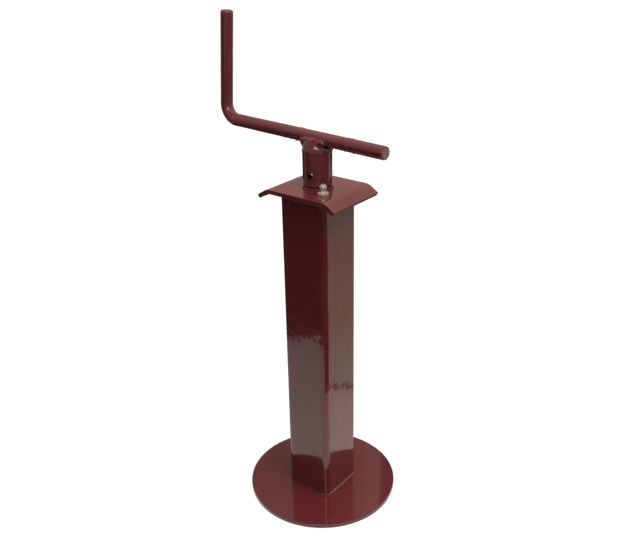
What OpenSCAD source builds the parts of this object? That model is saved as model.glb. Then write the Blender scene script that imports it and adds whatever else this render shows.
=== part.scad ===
// Weld-on screw jack, drawn closed. A square outer tube is welded to a frame. A crank on
// top turns a lead screw, which pushes a square inner tube with a round foot out below.
// The origin is the centre of the foot plate's underside, and +Z points up the screw.
// All sizes are millimetres, all angles degrees.

/* [Outer tube] */
// Width of the square outer tube
tube_w = 50.8; // [48:0.1:60]
// Wall of the outer tube
tube_wall = 2.67; // [2:0.01:3.2]
// Outer corner radius of the outer tube
tube_r = 6; // [4.5:0.5:8]
// Length of the outer tube
tube_l = 320.5; // [305:0.5:460]

/* [Inner tube] */
// Gap on each side between the inner and the outer tube
slide_gap = 0.5; // [0.3:0.05:0.8]
// Wall of the inner tube
inner_wall = 2.67; // [2:0.01:3.2]
// Outer corner radius of the inner tube
inner_r = 5; // [4.5:0.5:7]
// Gap between the closed inner tube's top and the thrust collar
park_gap = 3; // [1:0.5:8]

/* [Foot] */
// Diameter of the round foot plate
foot_d = 152.4; // [110:0.1:200]
// Thickness of the foot plate
foot_t = 4.76; // [3:0.01:10]
// Bevel that breaks the foot plate's edges
foot_bevel = 0.6; // [0.2:0.1:1.2]
// Gap between the foot plate and the closed outer tube's lower end
foot_gap = 2.2; // [1.5:0.1:5]
// How far the foot weld runs out from the inner tube
foot_bead_w = 5; // [2:0.5:8]
// Clearance between the foot weld and the outer tube's lower end
foot_bead_gap = 0.5; // [0.3:0.1:1]

/* [Lead screw] */
// Outer diameter of the screw's thread
screw_d = 25.4; // [21:0.1:27]
// Lead of the thread, which is the foot's travel for one turn
lead = 5.08; // [3:0.01:5.6]
// Turns of the crank from closed to fully out
turns = 40; // [20:1:44]
// Diameter of the turned shank that the crank hub sits on
shank_d = 19.05; // [16:0.05:20]
// How far the shank's top lies below the crank hub's top
shank_inset = 2.5; // [1:0.5:8]
// Diameter of the spigot at the screw's lower end
spigot_d = 16; // [12:0.5:18]
// Bevel on the screw's steps and ends
screw_bevel = 1; // [0.3:0.1:1.5]

/* [Lift nut] */
// Length of the nut block
nut_l = 32; // [20:1:40]
// Gap on each side between the nut block and the inner tube
nut_gap = 0.1; // [0.05:0.05:0.3]
// Running gap between the screw and the nut's bore
thread_gap = 0.2; // [0.1:0.05:0.4]
// Diameter of the four plug welds that hold the nut
plug_d = 12; // [6:1:18]

/* [Screw end stop] */
// Diameter of the stop washer
stop_d = 32; // [27:0.5:33]
// Thickness of the stop washer
stop_t = 4; // [2:0.5:8]
// Gap between nut and stop washer when the jack is fully out
stop_gap = 0.5; // [0.3:0.1:3]
// Diameter of the pin below the stop washer
stop_pin_d = 4.76; // [3:0.01:6]
// Length of spigot left below the stop pin
stop_pin_land = 3; // [2:0.5:6]

/* [Top plate] */
// Thickness of the top plate
plate_t = 4; // [2.5:0.1:6]
// Width of the plate's flat part, between the bends
plate_flat = 58; // [58:0.1:80]
// Depth of the plate, front to back
plate_depth = 67.4; // [60:0.1:90]
// Angle by which each lip is bent down
lip_angle = 31.5; // [10:0.5:55]
// Length of each lip past its bend
lip_l = 8.5; // [3:0.1:20]
// Inner radius of the bends
lip_bend_r = 9.5; // [1:0.5:12]
// Leg of the weld between tube and plate
cap_bead = 3.5; // [2:0.5:4]
// Depth of the bevel that this weld fills on the tube's top edge
cap_bevel = 1; // [0.5:0.1:1.8]
// Running gap between the shank and the plate's hole
plate_bore_gap = 0.1; // [0.05:0.05:0.3]

/* [Thrust bearing] */
// Outer diameter of the bearing races
race_d = 38; // [35:0.5:40]
// Thickness of each race
race_t = 3; // [2.5:0.1:4]
// Running gap between the shank and the upper race
race_bore_gap = 0.3; // [0.1:0.05:0.5]
// Diameter of the bearing balls
ball_d = 6.35; // [4.5:0.05:6.6]
// Number of bearing balls
ball_count = 10; // [6:1:11]
// How deep each ball sits in a race
groove_depth = 1.2; // [0.6:0.1:1.5]
// Gap between balls and grooves
ball_gap = 0.1; // [0.05:0.01:0.15]
// Thickness of the ball cage
cage_t = 1.8; // [1:0.1:2.4]
// Rim of the cage inside and outside the balls
cage_rim = 0.7; // [0.5:0.1:0.9]
// Gap between a ball and its pocket in the cage
pocket_gap = 0.15; // [0.1:0.05:0.25]

/* [Thrust collar] */
// Diameter of the collar below the bearing
collar_d = 36; // [30:0.5:38]
// Height of the collar
collar_h = 9; // [8:0.5:12]
// Diameter of the pin through the collar
collar_pin_d = 4.76; // [3:0.01:6]
// How far the collar pin's ends lie below the collar's surface
collar_pin_inset = 0.8; // [0.3:0.1:2]

/* [Crank hub] */
// Diameter of the crank hub
hub_d = 27; // [25:0.5:32]
// Length of the crank hub
hub_l = 37.5; // [30:0.5:60]
// Bevel on the hub's ends
hub_bevel = 0.5; // [0.2:0.1:1]
// Gap between the hub and the washer below it
hub_gap = 1.2; // [0.3:0.1:3]
// Diameter of the washer below the hub
washer_d = 29; // [25:0.5:34]
// Thickness of the washer below the hub
washer_t = 1.8; // [1:0.1:3]
// Running gap between the shank and the washer
washer_bore_gap = 0.25; // [0.1:0.05:0.5]

/* [Hub pin] */
// Diameter of the slotted spring pin
pin_d = 6.35; // [4:0.05:8]
// Wall of the spring pin
pin_wall = 1.1; // [0.8:0.1:1.4]
// Width of the spring pin's slot
pin_slot = 0.9; // [0.4:0.1:1.5]
// Height of the pin above the hub's lower end
pin_up = 10.5; // [8:0.5:22]
// How far the pin is turned from square to the crank arm
pin_turn = 12; // [-90:1:90]
// How far the pin's ends lie below the hub's surface
pin_inset = 0.9; // [0.3:0.1:2]

/* [Crank handle] */
// Diameter of the round bar
bar_d = 12; // [10:0.1:14]
// Distance from the hub's axis to the grip's axis at the arm
crank_reach = 121; // [70:1:200]
// Length of the short tail past the hub's axis
tail_l = 77.5; // [40:0.5:120]
// Height of the grip's top above the arm's axis
grip_l = 101.5; // [70:0.5:160]
// Radius of the elbow, on the bar's axis
elbow_r = 14; // [12:0.5:25]
// How much the bar's skin draws in round the elbow
elbow_thin = 0.06; // [0.06:0.01:0.2]
// How far the grip leans towards the hub
grip_lean = 5.5; // [0:0.5:10]
// Bevel on the bar's ends
bar_bevel = 1.2; // [0.3:0.1:2]
// How deep the bar is let into the hub's top
saddle_depth = 1.5; // [0.5:0.1:3]
// Direction of the crank tail in the closed jack
crank_angle = -5; // [-180:1:180]

/* [Hub weld] */
// Height of the weld above the hub's top
weld_h = 6; // [3:0.5:8]
// Diameter of the weld's upper end
weld_top_d = 17; // [13:0.5:24]
// Radius of the two round lumps of weld under the bar
nose_r = 5.5; // [5:0.5:7]
// How far the lump under the long arm stands out from the hub
long_nose_out = 4; // [3:0.5:5]
// How far the lump under the tail stands out from the hub
tail_nose_out = 3; // [3:0.5:5]

/* [Grease fitting] */
// Distance from the tube's right face to the fitting's axis
fitting_from_right = 6.4; // [6:0.1:8]
// Distance from the tube's front face to the fitting's axis
fitting_from_front = 8.9; // [6:0.1:10]
// Diameter of the fitting's thread
fitting_thread_d = 6.35; // [5:0.05:6.5]
// How far the thread reaches below the plate
fitting_thread_out = 1.5; // [0.5:0.1:3]
// Width of the fitting's hexagon across its flats
fitting_hex_w = 9.5; // [8:0.1:11]
// Height of the hexagon
fitting_hex_h = 3; // [2.5:0.1:4.5]
// Diameter of the fitting's neck
fitting_neck_d = 4.8; // [4.2:0.1:5.2]
// Diameter of the fitting's ball head
fitting_head_d = 6.6; // [6:0.1:7.2]
// Height of the ball head's centre above the plate
fitting_head_up = 7.2; // [7:0.1:10]
// Diameter of the grease way inside the fitting
fitting_way_d = 2.7; // [2.5:0.05:3]
// Diameter of the mouth that the check ball closes
fitting_mouth_d = 1.6; // [1:0.1:1.9]
// Diameter of the check ball
check_ball_d = 2.4; // [2.1:0.05:2.4]
// How far a grease gun pushes the check ball in
check_ball_push = 1; // [0.5:0.1:1.5]
// Diameter of the check spring's wire
spring_wire_d = 0.3; // [0.2:0.05:0.4]
// Coils in the check spring
spring_coils = 8; // [5:1:10]

/* [Fits] */
// Gap left between pieces that are pressed, pinned or welded together
seat_gap = 0.03; // [0.01:0.01:0.06]

/* [Hidden] */
$fn = 96;

PAINT = [0.36, 0.13, 0.15];
PAINTED_PLATE = [0.48, 0.20, 0.21];
ZINC = [0.80, 0.79, 0.74];
BARE_STEEL = [0.58, 0.57, 0.55];
HARD_STEEL = [0.70, 0.71, 0.72];
BRASS = [0.66, 0.50, 0.30];

// Smallest inner corner radius of a tube
least_corner_r = 0.5;

// Widths
tube_in_w = tube_w - 2 * tube_wall;
inner_w = tube_in_w - 2 * slide_gap;
inner_in_w = inner_w - 2 * inner_wall;
nut_w = inner_in_w - 2 * nut_gap;
travel = lead * turns;

// Heights from the ground up
foot_bead_h = foot_gap - foot_bead_gap;
tube_z = foot_t + foot_gap;
plate_z = tube_z + tube_l;
plate_top_z = plate_z + plate_t;
hub_z = plate_top_z + washer_t + hub_gap;
hub_top_z = hub_z + hub_l;
arm_z = hub_top_z - saddle_depth + bar_d / 2;

// Heights from the top plate down
race_space = ball_d - 2 * groove_depth;
ball_z = plate_z - race_t - race_space / 2;
lower_race_z = ball_z - race_space / 2 - race_t;
collar_z = lower_race_z - collar_h;
inner_top_z = collar_z - park_gap;
nut_z = inner_top_z - nut_l;
stop_z = nut_z - travel - stop_gap;
stop_pin_z = stop_z - stop_t - seat_gap - stop_pin_d / 2;
screw_end_z = stop_pin_z - stop_pin_d / 2 - stop_pin_land;

// Circle that the bearing balls run on, midway between shank and race edge
race_bore_d = shank_d + 2 * race_bore_gap;
ball_circle_r = (race_bore_d + race_d) / 4;

// Place of the grease fitting and of what it holds
fitting_x = tube_w / 2 - fitting_from_right;
fitting_y = -(tube_w / 2 - fitting_from_front);
// Land left between the head's flat top and the check ball's seat
fitting_top_land = 0.6;
// Share of the head's radius at which its top is cut flat
fitting_head_cut = 0.82;
fitting_top = fitting_head_up + fitting_head_cut * fitting_head_d / 2;
check_ball_up = fitting_top - fitting_top_land - check_ball_d / 2 - seat_gap;
// Step that holds the spring's lower end
fitting_foot_land = 0.8;
spring_z = plate_z - fitting_thread_out + fitting_foot_land;
spring_l = plate_top_z + check_ball_up - check_ball_d / 2 - seat_gap - spring_z;
// Gap between the spring and the wall of the grease way
spring_gap = 0.1;
spring_r = (fitting_way_d - spring_wire_d) / 2 - spring_gap;
// Points round the spring's wire and rings in one coil
wire_sides = 6;
coil_rings = 10;

// Flats that stand for each bend of the top plate
bend_steps = 12;

// How far the crank's elbow runs into each straight leg
elbow_join = 1;

// Direction of the hub pin, seen from the crank
hub_pin_angle = -90 + pin_turn;

// Length added to a cutting tool so that it passes right through
through = 1;

// A flat square with round corners
module rounded_square(w, r) {
    square([w, w - 2 * r], center = true);
    square([w - 2 * r, w], center = true);
    for (x = [-1, 1], y = [-1, 1])
        translate([x * (w / 2 - r), y * (w / 2 - r)]) circle(r = r);
}

// A square tube that stands on z = 0
module square_tube(w, wall, r, l) {
    linear_extrude(l) difference() {
        rounded_square(w, r);
        rounded_square(w - 2 * wall, max(r - wall, least_corner_r));
    }
}

// A fillet bead on z = 0 round a square tube of width w and corner radius r. Its foot runs
// from into, inside the tube's face, to out, outside it.
module fillet_ring(w, r, out, up, into = 0) {
    straight = w - 2 * r;
    for (a = [0 : 90 : 270]) rotate(a) {
        translate([w / 2, straight / 2, 0]) rotate([90, 0, 0])
            linear_extrude(straight) polygon([[-into, 0], [out, 0], [0, up]]);
        translate([straight / 2, straight / 2, 0])
            rotate_extrude(angle = 90) polygon([[r - into, 0], [r + out, 0], [r, up]]);
    }
}

// A round bar that stands on z = 0, with bevelled ends
module bevelled_rod(d, l, low_bevel, top_bevel) {
    r = d / 2;
    rotate_extrude() polygon([
        [0, 0], [r - low_bevel, 0], [r, low_bevel],
        [r, l - top_bevel], [r - top_bevel, l], [0, l]]);
}

// A flat ring that stands on z = 0
module ring(d, bore_d, t) {
    difference() {
        cylinder(d = d, h = t);
        translate([0, 0, -through]) cylinder(d = bore_d, h = t + 2 * through);
    }
}

// A rod of length l, centred on the screw's axis at height z, lying along direction a
module cross_rod(d, l, z, a = 0) {
    translate([0, 0, z]) rotate([0, 90, a]) cylinder(d = d, h = l, center = true);
}

// Turns a piece of the crank to its place in the closed jack
module at_crank() {
    rotate(crank_angle) children();
}

// The bead between tube and plate, which fills the bevel on the tube's top edge
module cap_bead_ring() {
    translate([0, 0, plate_z]) mirror([0, 0, 1])
        fillet_ring(tube_w, tube_r, cap_bead, cap_bead, cap_bevel);
}

module outer_tube() {
    color(PAINT) difference() {
        translate([0, 0, tube_z]) square_tube(tube_w, tube_wall, tube_r, tube_l);
        cap_bead_ring();
    }
}

// Points along an arc about c from angle a0 to angle a1
function arc(c, r, a0, a1) =
    [for (i = [0 : bend_steps]) let (a = a0 + (a1 - a0) * i / bend_steps)
        c + r * [cos(a), sin(a)]];

// Right half of the plate's outline, from the top of the right bend round to its underside
function lip_points() =
    let (c = [plate_flat / 2, -lip_bend_r - plate_t],
         lip = lip_l * [cos(lip_angle), -sin(lip_angle)],
         top = arc(c, lip_bend_r + plate_t, 90, 90 - lip_angle),
         under = arc(c, lip_bend_r, 90 - lip_angle, 90))
    concat(top, [top[bend_steps] + lip, under[0] + lip], under);

module plate_outline() {
    right = lip_points();
    left = [for (i = [len(right) - 1 : -1 : 0]) [-right[i][0], right[i][1]]];
    polygon(concat(right, left));
}

module top_plate() {
    color(PAINTED_PLATE) difference() {
        translate([0, plate_depth / 2, plate_top_z]) rotate([90, 0, 0])
            linear_extrude(plate_depth) plate_outline();
        translate([0, 0, plate_z - through])
            cylinder(d = shank_d + 2 * plate_bore_gap, h = plate_t + 2 * through);
        translate([fitting_x, fitting_y, plate_z - through])
            cylinder(d = fitting_thread_d + 2 * seat_gap, h = plate_t + 2 * through);
    }
}

module cap_weld() {
    color(PAINT) cap_bead_ring();
}

module fitting_shell() {
    translate([0, 0, -plate_t - fitting_thread_out])
        cylinder(d = fitting_thread_d, h = plate_t + fitting_thread_out);
    cylinder(d = fitting_hex_w / cos(30), h = fitting_hex_h, $fn = 6);
    cylinder(d = fitting_neck_d, h = fitting_head_up);
    difference() {
        translate([0, 0, fitting_head_up]) sphere(d = fitting_head_d);
        translate([0, 0, fitting_top]) cylinder(d = fitting_head_d, h = fitting_head_d);
    }
}

module grease_fitting_body() {
    way_bottom = spring_z - plate_top_z - seat_gap;
    way_top = fitting_top - fitting_top_land;
    all_below = plate_t + fitting_thread_out + through;
    color(ZINC) translate([fitting_x, fitting_y, plate_top_z]) difference() {
        fitting_shell();
        translate([0, 0, way_bottom])
            cylinder(d = fitting_way_d, h = way_top - way_bottom);
        translate([0, 0, -all_below])
            cylinder(d = fitting_mouth_d, h = all_below + fitting_top + through);
    }
}

module grease_fitting_ball() {
    color(HARD_STEEL) translate([fitting_x, fitting_y, plate_top_z + check_ball_up])
        sphere(d = check_ball_d);
}

// Points of the check spring: one ring of wire points for each step along the helix
function spring_point(i, j) =
    let (rings = spring_coils * coil_rings,
         a = 360 * i / coil_rings,
         b = 360 * j / wire_sides,
         rise = spring_l - spring_wire_d,
         r = spring_r + spring_wire_d / 2 * cos(b))
    [r * cos(a), r * sin(a), spring_wire_d / 2 * (1 + sin(b)) + rise * i / rings];

module grease_fitting_spring() {
    rings = spring_coils * coil_rings;
    points = [for (i = [0 : rings], j = [0 : wire_sides - 1]) spring_point(i, j)];
    sides = [for (i = [0 : rings - 1], j = [0 : wire_sides - 1])
        let (k = (j + 1) % wire_sides, low = i * wire_sides, high = low + wire_sides)
        each [[low + j, low + k, high + k], [low + j, high + k, high + j]]];
    last = rings * wire_sides;
    ends = [[for (j = [wire_sides - 1 : -1 : 0]) j], [for (j = [0 : wire_sides - 1]) last + j]];
    color(HARD_STEEL) translate([fitting_x, fitting_y, spring_z])
        polyhedron(points, concat(sides, ends));
}

module thrust_washer() {
    color(PAINT) translate([0, 0, plate_top_z])
        ring(washer_d, shank_d + 2 * washer_bore_gap, washer_t);
}

// The bent bar, with its arm's axis on z = 0 and the tail towards +X
module crank_bar() {
    bend = 90 + grip_lean;
    // Length of each leg that the elbow takes up
    elbow_leg = elbow_r * tan(bend / 2);
    straight_l = grip_l / cos(grip_lean) - elbow_leg;
    elbow_x = elbow_leg - crank_reach;
    // Angle that the elbow sweeps within each straight leg
    elbow_lap = elbow_join / elbow_r * 180 / PI;
    translate([tail_l, 0, 0]) rotate([0, -90, 0])
        bevelled_rod(bar_d, tail_l - elbow_x, bar_bevel, 0);
    translate([elbow_x, 0, elbow_r]) rotate([90, 0, 0]) rotate(-90 - bend - elbow_lap)
        rotate_extrude(angle = bend + 2 * elbow_lap)
            translate([elbow_r, 0]) circle(d = bar_d - 2 * elbow_thin);
    translate([elbow_x, 0, elbow_r]) rotate([0, grip_lean, 0]) translate([-elbow_r, 0, 0])
        bevelled_rod(bar_d, straight_l, 0, bar_bevel);
}

module crank_handle() {
    color(PAINT) at_crank() translate([0, 0, arm_z]) crank_bar();
}

// Room for the straight bar, which is cut out of the hub and its weld
module bar_space() {
    translate([0, 0, arm_z]) rotate([0, 90, 0])
        cylinder(d = bar_d + 2 * seat_gap, h = 3 * hub_d, center = true);
}

module crank_hub() {
    color(PAINT) at_crank() difference() {
        translate([0, 0, hub_z]) bevelled_rod(hub_d, hub_l, hub_bevel, hub_bevel);
        translate([0, 0, hub_z - through])
            cylinder(d = shank_d + 2 * seat_gap, h = hub_l + 2 * through);
        cross_rod(pin_d + 2 * seat_gap, 2 * hub_d, hub_z + pin_up, hub_pin_angle);
        bar_space();
    }
}

// A lump of weld in the corner under the bar, on side s of the hub
module weld_nose(s, out) {
    translate([s * (hub_d / 2 + out - nose_r), 0, arm_z - bar_d / 2]) sphere(r = nose_r);
}

module hub_weld() {
    color(PAINT) at_crank() difference() {
        union() {
            translate([0, 0, hub_top_z + seat_gap])
                cylinder(d1 = hub_d - 2 * hub_bevel, d2 = weld_top_d, h = weld_h);
            weld_nose(-1, long_nose_out);
            weld_nose(1, tail_nose_out);
        }
        bar_space();
        translate([0, 0, hub_z]) cylinder(d = hub_d + 2 * seat_gap, h = hub_l + seat_gap);
    }
}

module hub_pin() {
    pin_l = hub_d - 2 * pin_inset;
    color(BARE_STEEL) at_crank() translate([0, 0, hub_z + pin_up])
        rotate([0, 90, hub_pin_angle]) difference() {
            cylinder(d = pin_d, h = pin_l, center = true);
            cylinder(d = pin_d - 2 * pin_wall, h = pin_l + 2 * through, center = true);
            translate([0, -pin_slot / 2, -pin_l])
                cube([pin_d, pin_slot, 2 * pin_l]);
        }
}

// Outline of the lead screw from its lower end to the shank's top
module screw_outline() {
    b = screw_bevel;
    shank_top_z = hub_top_z - shank_inset;
    polygon([
        [0, screw_end_z], [spigot_d / 2 - b, screw_end_z], [spigot_d / 2, screw_end_z + b],
        [spigot_d / 2, stop_z], [screw_d / 2 - b, stop_z], [screw_d / 2, stop_z + b],
        [screw_d / 2, collar_z - b], [screw_d / 2 - b, collar_z], [shank_d / 2, collar_z],
        [shank_d / 2, shank_top_z - b], [shank_d / 2 - b, shank_top_z], [0, shank_top_z]]);
}

module lead_screw() {
    color(BARE_STEEL) at_crank() difference() {
        rotate_extrude() screw_outline();
        cross_rod(pin_d + 2 * seat_gap, 2 * hub_d, hub_z + pin_up, hub_pin_angle);
        cross_rod(collar_pin_d + 2 * seat_gap, 2 * collar_d, collar_z + collar_h / 2);
        cross_rod(stop_pin_d + 2 * seat_gap, 2 * stop_d, stop_pin_z);
    }
}

module thrust_collar() {
    color(BARE_STEEL) at_crank() difference() {
        translate([0, 0, collar_z]) ring(collar_d, shank_d + 2 * seat_gap, collar_h);
        cross_rod(collar_pin_d + 2 * seat_gap, 2 * collar_d, collar_z + collar_h / 2);
    }
}

module collar_pin() {
    color(HARD_STEEL) at_crank()
        cross_rod(collar_pin_d, collar_d - 2 * collar_pin_inset, collar_z + collar_h / 2);
}

// A race on z = from to from + race_t, with the groove that the balls run in
module race(from, bore_d) {
    rotate_extrude() difference() {
        translate([bore_d / 2, from]) square([(race_d - bore_d) / 2, race_t]);
        translate([ball_circle_r, ball_z]) circle(d = ball_d + 2 * ball_gap);
    }
}

module bearing_upper_race() {
    color(HARD_STEEL) race(plate_z - race_t, race_bore_d);
}

module bearing_lower_race() {
    color(HARD_STEEL) race(lower_race_z, shank_d + 2 * seat_gap);
}

module bearing_balls() {
    color(HARD_STEEL) for (i = [0 : ball_count - 1])
        rotate(i * 360 / ball_count) translate([ball_circle_r, 0, ball_z]) sphere(d = ball_d);
}

module bearing_cage() {
    cage_in_d = 2 * ball_circle_r - ball_d - 2 * cage_rim;
    cage_out_d = 2 * ball_circle_r + ball_d + 2 * cage_rim;
    color(BRASS) translate([0, 0, ball_z - cage_t / 2]) difference() {
        ring(cage_out_d, cage_in_d, cage_t);
        for (i = [0 : ball_count - 1])
            rotate(i * 360 / ball_count) translate([ball_circle_r, 0, -through])
                cylinder(d = ball_d + 2 * pocket_gap, h = cage_t + 2 * through);
    }
}

module screw_stop_washer() {
    color(BARE_STEEL) at_crank() translate([0, 0, stop_z - stop_t])
        ring(stop_d, spigot_d + 2 * seat_gap, stop_t);
}

module screw_stop_pin() {
    color(HARD_STEEL) at_crank() cross_rod(stop_pin_d, stop_d, stop_pin_z);
}

// The four plug welds, which fill their holes in the inner tube
module plugs() {
    for (a = [0 : 90 : 270])
        rotate(a) translate([nut_w / 2, 0, nut_z + nut_l / 2]) rotate([0, 90, 0])
            cylinder(d = plug_d, h = (inner_w - nut_w) / 2);
}

module inner_tube() {
    color(BARE_STEEL) difference() {
        translate([0, 0, foot_t])
            square_tube(inner_w, inner_wall, inner_r, inner_top_z - foot_t);
        plugs();
    }
}

module lift_nut() {
    color(BRASS) translate([0, 0, nut_z]) difference() {
        linear_extrude(nut_l) rounded_square(nut_w, max(inner_r - inner_wall, least_corner_r));
        translate([0, 0, -through])
            cylinder(d = screw_d + 2 * thread_gap, h = nut_l + 2 * through);
    }
}

module nut_plug_welds() {
    color(BARE_STEEL) plugs();
}

module foot_plate() {
    color(PAINT) bevelled_rod(foot_d, foot_t, foot_bevel, foot_bevel);
}

module foot_weld() {
    color(PAINT) translate([0, 0, foot_t])
        fillet_ring(inner_w, inner_r, foot_bead_w, foot_bead_h);
}

outer_tube();
top_plate();
cap_weld();
grease_fitting_body();
grease_fitting_spring();
grease_fitting_ball();
thrust_washer();
crank_handle();
crank_hub();
hub_weld();
hub_pin();
lead_screw();
thrust_collar();
collar_pin();
bearing_upper_race();
bearing_lower_race();
bearing_balls();
bearing_cage();
screw_stop_washer();
screw_stop_pin();
inner_tube();
lift_nut();
nut_plug_welds();
foot_plate();
foot_weld();
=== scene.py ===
"""Finishes, fine forms and studio for a weld-on screw jack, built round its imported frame.

Lengths are metres in the frame's own axes: +Z runs up the screw, and the origin lies under
the foot plate. Each sub-assembly is a class that builds its meshes and puts its finishes on.
"""

import logging
from dataclasses import dataclass
from enum import Enum
from math import acos, asin, atan2, cos, pi, radians, sin, tan
from typing import Callable, Iterable, Sequence

import bmesh
import bpy
from mathutils import Matrix, Vector, noise


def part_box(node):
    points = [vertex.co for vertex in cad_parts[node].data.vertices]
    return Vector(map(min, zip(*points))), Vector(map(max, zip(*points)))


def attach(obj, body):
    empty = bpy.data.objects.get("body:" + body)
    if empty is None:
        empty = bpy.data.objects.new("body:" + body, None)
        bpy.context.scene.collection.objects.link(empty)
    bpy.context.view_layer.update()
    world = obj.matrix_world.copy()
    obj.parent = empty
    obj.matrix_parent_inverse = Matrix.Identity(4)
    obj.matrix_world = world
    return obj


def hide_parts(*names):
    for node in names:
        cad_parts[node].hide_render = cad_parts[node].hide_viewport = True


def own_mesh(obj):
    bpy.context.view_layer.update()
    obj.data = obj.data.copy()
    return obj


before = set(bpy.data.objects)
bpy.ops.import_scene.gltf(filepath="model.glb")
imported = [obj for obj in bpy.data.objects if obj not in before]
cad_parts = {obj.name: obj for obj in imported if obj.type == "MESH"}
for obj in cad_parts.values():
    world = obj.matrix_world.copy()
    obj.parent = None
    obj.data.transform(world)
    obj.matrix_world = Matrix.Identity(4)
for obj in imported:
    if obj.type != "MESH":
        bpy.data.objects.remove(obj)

LOG = logging.getLogger("weld_on_jack")
MM = 0.001
TINY = 1e-7
MERGE = 0.0005 * MM
EVEN_WEIGHT = 80
CLOUD_DETAIL = 3.0
EAST, NORTH = Vector((1, 0, 0)), Vector((0, 1, 0))
WHITE = (1.0, 1.0, 1.0)

Triple = tuple[float, float, float]
Colour = Triple
Outline = list[tuple[float, float]]
Mesh = bpy.types.Mesh
Socket = bpy.types.NodeSocket
Value = float | int | bool | str | tuple | Socket


class Body(Enum):
    """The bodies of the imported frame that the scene's own pieces ride on."""

    OUTER = "outer_body"
    CRANK = "crank_body"
    FOOT = "foot_body"


class Slot(Enum):
    """The record's material slots."""

    PAINT = "maroon_paint"
    ZINC = "zinc"
    BARE = "bare_steel"
    HARD = "hard_steel"
    BRASS = "brass"


def seen(red: int, green: int, blue: int) -> Colour:
    """Turns a colour as a screen shows it into the linear colour that shaders take.

    Args:
        red: Red from 0 to 255.
        green: Green from 0 to 255.
        blue: Blue from 0 to 255.

    Returns:
        The linear red, green and blue.
    """
    def straight(level: int) -> float:
        """Undoes the screen curve for one channel."""
        share = level / 255
        return share / 12.92 if share <= 0.04045 else ((share + 0.055) / 1.055) ** 2.4
    return straight(red), straight(green), straight(blue)


def tinted(colour: Colour, share: float) -> Colour:
    """Scales a colour's lightness by a share."""
    return colour[0] * share, colour[1] * share, colour[2] * share


class Graph:
    """Adds and links the nodes of one shader or geometry tree."""

    def __init__(self, tree: bpy.types.NodeTree) -> None:
        """Keeps the tree that nodes go into."""
        self.tree = tree

    def feed(self, socket: Socket, value: Value) -> None:
        """Links an input to the output that feeds it, or sets it to a plain value.

        Args:
            socket: The input.
            value: The output that feeds it, or its plain value.
        """
        if isinstance(value, Socket):
            self.tree.links.new(value, socket)
        else:
            socket.default_value = (*value, 1.0) if socket.type == "RGBA" else value

    def add(self, kind: str, inputs: dict[str | int, Value] | None = None,
            **settings: object) -> bpy.types.Node:
        """Adds one node and feeds its inputs.

        Args:
            kind: The node's type name.
            inputs: Input name or place to a plain value, or to the output that feeds it.
            **settings: Properties of the node itself.

        Returns:
            The new node.
        """
        node = self.tree.nodes.new(kind)
        for name, setting in settings.items():
            setattr(node, name, setting)
        for key, value in (inputs or {}).items():
            self.feed(node.inputs[key], value)
        return node

    def out(self, kind: str, inputs: dict[str | int, Value] | None = None,
            **settings: object) -> Socket:
        """Adds one node, as add does, and returns its first output."""
        return self.add(kind, inputs, **settings).outputs[0]

    def calc(self, operation: str, first: Value, second: Value = 0.0) -> Socket:
        """Adds one step of arithmetic and returns its output."""
        return self.out("ShaderNodeMath", {0: first, 1: second}, operation=operation)

    def ranged(self, value: Value, low: Value, high: Value, to_low: float, to_high: float,
               smooth: bool = True) -> Socket:
        """Maps a value from one range to another and returns the output."""
        return self.out("ShaderNodeMapRange",
                        {0: value, 1: low, 2: high, 3: to_low, 4: to_high},
                        interpolation_type="SMOOTHSTEP" if smooth else "LINEAR")


class Shading(Graph):
    """One procedural material."""

    def __init__(self, name: str) -> None:
        """Makes an empty material of that name."""
        self.material = bpy.data.materials.new(name)
        self.material.use_nodes = True
        super().__init__(self.material.node_tree)
        self.tree.nodes.clear()

    def end(self, shader: Socket) -> bpy.types.Material:
        """Ends the material in a surface shader and returns it."""
        self.add("ShaderNodeOutputMaterial", {"Surface": shader})
        return self.material

    def place(self, stretch: Triple = WHITE) -> Socket:
        """Returns Object coordinates, scaled by a share along each axis."""
        coords = self.add("ShaderNodeTexCoord").outputs["Object"]
        return self.out("ShaderNodeMapping", {"Vector": coords, "Scale": stretch})

    def noise(self, vector: Socket, grain: float, detail: float = 2.0,
              roughness: float = 0.5) -> Socket:
        """Returns a noise from 0 to 1 whose lumps are about one grain apart, in metres."""
        return self.out("ShaderNodeTexNoise", {
            "Vector": vector, "Scale": 1 / grain, "Detail": detail, "Roughness": roughness})

    def blend(self, share: Value, first: Value, second: Value) -> Socket:
        """Mixes two colours by a share and returns the result."""
        return self.add("ShaderNodeMix", {"Factor": share, 6: first, 7: second},
                        data_type="RGBA").outputs[2]

    def bump(self, height: Socket, depth: float, under: Socket | None = None) -> Socket:
        """Returns a surface normal that a height map of that depth bends.

        Args:
            height: The height, from 0 to 1.
            depth: What a height of 1 stands for, in metres.
            under: A normal that an earlier bump has bent.

        Returns:
            The bent normal.
        """
        inputs: dict[str | int, Value] = {"Height": height, "Distance": depth, "Strength": 1.0}
        if under is not None:
            inputs["Normal"] = under
        return self.out("ShaderNodeBump", inputs)

    def principled(self, **inputs: Value) -> bpy.types.Material:
        """Ends the material in a Principled shader, with input names given in lower case."""
        return self.end(self.out("ShaderNodeBsdfPrincipled", {
            name.replace("_", " ").title().replace("Ior", "IOR"): value
            for name, value in inputs.items()}))


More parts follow.
